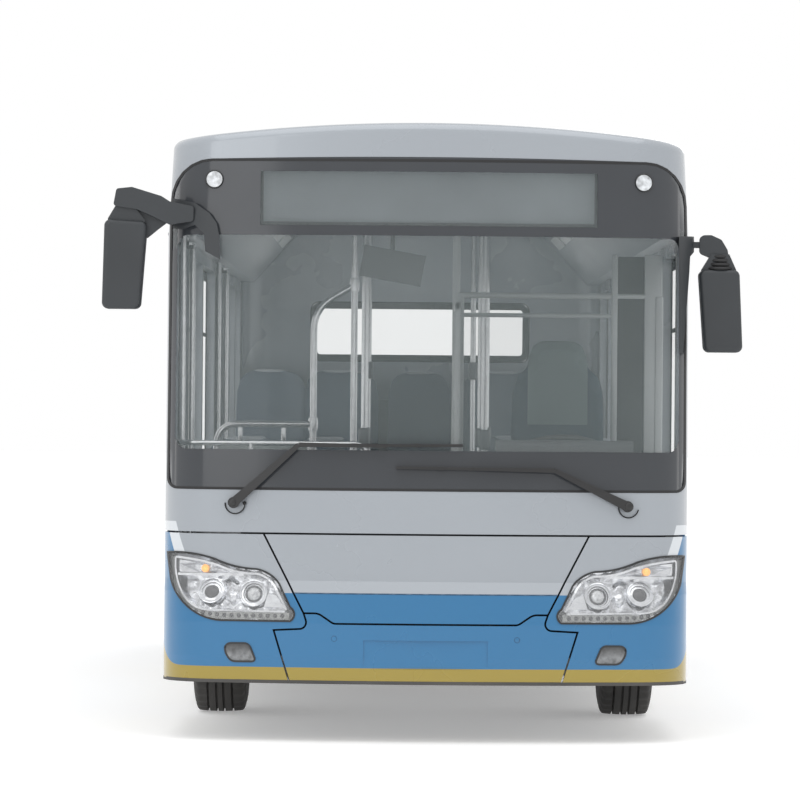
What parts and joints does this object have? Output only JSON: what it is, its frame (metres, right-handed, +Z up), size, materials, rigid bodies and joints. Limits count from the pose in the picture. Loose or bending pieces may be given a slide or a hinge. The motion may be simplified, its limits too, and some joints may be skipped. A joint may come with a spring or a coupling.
{
  "type": "low-entry city bus",
  "caption": "Low-entry city bus with a wrap-round windscreen, gliding double doors, steered front wheels, twin rear wheels and a glazed saloon with seats.",
  "frame": {"origin": "on the ground under the middle of the bus", "axes": "+Z up, the front towards -Y, the driver's side towards +X, the doors on the -X side"},
  "size_m": [3.0619, 10.505, 3.15],
  "materials": {
    "body_white": "gloss paint",
    "body_blue": "gloss paint",
    "black_trim": "satin",
    "glass": "clear, lightly tinted",
    "lens": "clear",
    "lamp_chrome": "bright",
    "red_lens": "gloss",
    "lamp_white": "gloss",
    "frame_paint": "satin chassis paint",
    "axle_iron": "rough",
    "spring_rubber": "matt",
    "tyre": "matt",
    "wheel_paint": "satin",
    "floor_sheet": "matt",
    "panel_grey": "satin",
    "dash_grey": "matt",
    "seat_blue": "satin",
    "seat_fabric": "woven",
    "rail_steel": "brushed",
    "case_grey": "satin",
    "motor_alloy": "cast"
  },
  "bodies": {
    "bus_body": {"front_mask": "body_white", "windscreen": "glass", "front_corners": "body_blue", "front_service_panel": "body_white", "front_bumper": "body_blue", "headlamp_housings": "lamp_chrome", "headlamp_lenses": "lens", "front_small_lamps": "lamp_white", "destination_sign": "black_trim", "side_wall_left": "body_white", "side_wall_right_mid": "body_white", "side_wall_right_rear": "body_white", "window_panes": "glass", "roof": "body_white", "roof_hatches": "body_white", "roof_unit": "body_white", "rear_mask": "body_white", "rear_bumper": "body_blue", "tail_lamps": "red_lens", "floor_deck": "floor_sheet", "wheel_boxes": "panel_grey", "chassis_frame": "frame_paint", "air_springs": "spring_rubber", "front_axle": "axle_iron", "rear_axle": "axle_iron", "drive_motor": "motor_alloy", "battery_packs": "case_grey", "dashboard": "dash_grey", "cab_platform": "floor_sheet", "driver_seat": "seat_fabric", "passenger_seats": "seat_blue", "handrails": "rail_steel", "cab_partition": "panel_grey", "mirrors": "black_trim", "wipers": "black_trim"},
    "rear_lid": {"rear_lid": "body_blue"},
    "steering_wheel": {"steering_wheel": "black_trim"},
    "cab_door": {"cab_door": "panel_grey"},
    "knuckle_left": {"knuckle_left": "axle_iron"},
    "front_wheel_left": {"front_rim_left": "wheel_paint", "front_tyre_left": "tyre"},
    "rear_wheels_left": {"rear_rims_left": "wheel_paint", "rear_tyres_left": "tyre"},
    "knuckle_right": {"knuckle_right": "axle_iron"},
    "front_wheel_right": {"front_rim_right": "wheel_paint", "front_tyre_right": "tyre"},
    "rear_wheels_right": {"rear_rims_right": "wheel_paint", "rear_tyres_right": "tyre"},
    "front_door_fore_post": {"front_door_fore_post": "rail_steel"},
    "front_door_fore_leaf": {"front_door_fore_leaf": "black_trim", "front_door_fore_glass": "glass"},
    "front_door_aft_post": {"front_door_aft_post": "rail_steel"},
    "front_door_aft_leaf": {"front_door_aft_leaf": "black_trim", "front_door_aft_glass": "glass"},
    "mid_door_fore_post": {"mid_door_fore_post": "rail_steel"},
    "mid_door_fore_leaf": {"mid_door_fore_leaf": "black_trim", "mid_door_fore_glass": "glass"},
    "mid_door_aft_post": {"mid_door_aft_post": "rail_steel"},
    "mid_door_aft_leaf": {"mid_door_aft_leaf": "black_trim", "mid_door_aft_glass": "glass"}
  },
  "joints": [
    {"name": "steer_left", "type": "hinge", "parent": "bus_body", "child": "knuckle_left", "pos_m": [0.89, -2.845, 0.478], "axis": [0, 0, 1], "range_deg": [-40, 40]},
    {"name": "front_spin_left", "type": "hinge", "parent": "knuckle_left", "child": "front_wheel_left", "pos_m": [1.039, -2.845, 0.478], "axis": [1, 0, 0], "continuous": true},
    {"name": "rear_spin_left", "type": "hinge", "parent": "bus_body", "child": "rear_wheels_left", "pos_m": [0.922, 2.455, 0.478], "axis": [1, 0, 0], "continuous": true},
    {"name": "steer_right", "type": "hinge", "parent": "bus_body", "child": "knuckle_right", "pos_m": [-0.89, -2.845, 0.478], "axis": [0, 0, 1], "range_deg": [-40, 40]},
    {"name": "front_spin_right", "type": "hinge", "parent": "knuckle_right", "child": "front_wheel_right", "pos_m": [-1.039, -2.845, 0.478], "axis": [1, 0, 0], "continuous": true},
    {"name": "rear_spin_right", "type": "hinge", "parent": "bus_body", "child": "rear_wheels_right", "pos_m": [-0.922, 2.455, 0.478], "axis": [1, 0, 0], "continuous": true},
    {"name": "steering_wheel_turn", "type": "hinge", "parent": "bus_body", "child": "steering_wheel", "pos_m": [0.66, -4.4, 1.33], "axis": [0, 0.4695, 0.8829], "range_deg": [-720, 720]},
    {"name": "rear_lid_hinge", "type": "hinge", "parent": "bus_body", "child": "rear_lid", "pos_m": [0, 5.247, 1.496], "axis": [1, 0, 0], "range_deg": [0, 75]},
    {"name": "cab_door_hinge", "type": "hinge", "parent": "bus_body", "child": "cab_door", "pos_m": [0.15, -3.53, 1.2], "axis": [0, 0, -1], "range_deg": [0, 95]},
    {"name": "front_door_fore_turn", "type": "hinge", "parent": "bus_body", "child": "front_door_fore_post", "pos_m": [-1.179, -4.674, 1.4], "axis": [0, 0, -1], "range_deg": [0, 90]},
    {"name": "front_door_fore_swing", "type": "hinge", "parent": "front_door_fore_post", "child": "front_door_fore_leaf", "pos_m": [-1.179, -4.3765, 1.4], "axis": [0, 0, 1], "range_deg": [0, 180]},
    {"name": "front_door_aft_turn", "type": "hinge", "parent": "bus_body", "child": "front_door_aft_post", "pos_m": [-1.179, -3.536, 1.4], "axis": [0, 0, 1], "range_deg": [0, 90]},
    {"name": "front_door_aft_swing", "type": "hinge", "parent": "front_door_aft_post", "child": "front_door_aft_leaf", "pos_m": [-1.179, -3.8335, 1.4], "axis": [0, 0, -1], "range_deg": [0, 180]},
    {"name": "mid_door_fore_turn", "type": "hinge", "parent": "bus_body", "child": "mid_door_fore_post", "pos_m": [-1.179, 0.156, 1.4], "axis": [0, 0, -1], "range_deg": [0, 90]},
    {"name": "mid_door_fore_swing", "type": "hinge", "parent": "mid_door_fore_post", "child": "mid_door_fore_leaf", "pos_m": [-1.179, 0.491, 1.4], "axis": [0, 0, 1], "range_deg": [0, 180]},
    {"name": "mid_door_aft_turn", "type": "hinge", "parent": "bus_body", "child": "mid_door_aft_post", "pos_m": [-1.179, 1.444, 1.4], "axis": [0, 0, 1], "range_deg": [0, 90]},
    {"name": "mid_door_aft_swing", "type": "hinge", "parent": "mid_door_aft_post", "child": "mid_door_aft_leaf", "pos_m": [-1.179, 1.109, 1.4], "axis": [0, 0, -1], "range_deg": [0, 180]}
  ],
  "couplings": [
    {"joint": "steer_right", "follows": "steer_left", "ratio": 1},
    {"joint": "steering_wheel_turn", "follows": "steer_left", "ratio": 18},
    {"joint": "front_door_fore_swing", "follows": "front_door_fore_turn", "ratio": 2},
    {"joint": "front_door_aft_turn", "follows": "front_door_fore_turn", "ratio": 1},
    {"joint": "front_door_aft_swing", "follows": "front_door_fore_turn", "ratio": 2},
    {"joint": "mid_door_fore_swing", "follows": "mid_door_fore_turn", "ratio": 2},
    {"joint": "mid_door_aft_turn", "follows": "mid_door_fore_turn", "ratio": 1},
    {"joint": "mid_door_aft_swing", "follows": "mid_door_fore_turn", "ratio": 2}
  ]
}
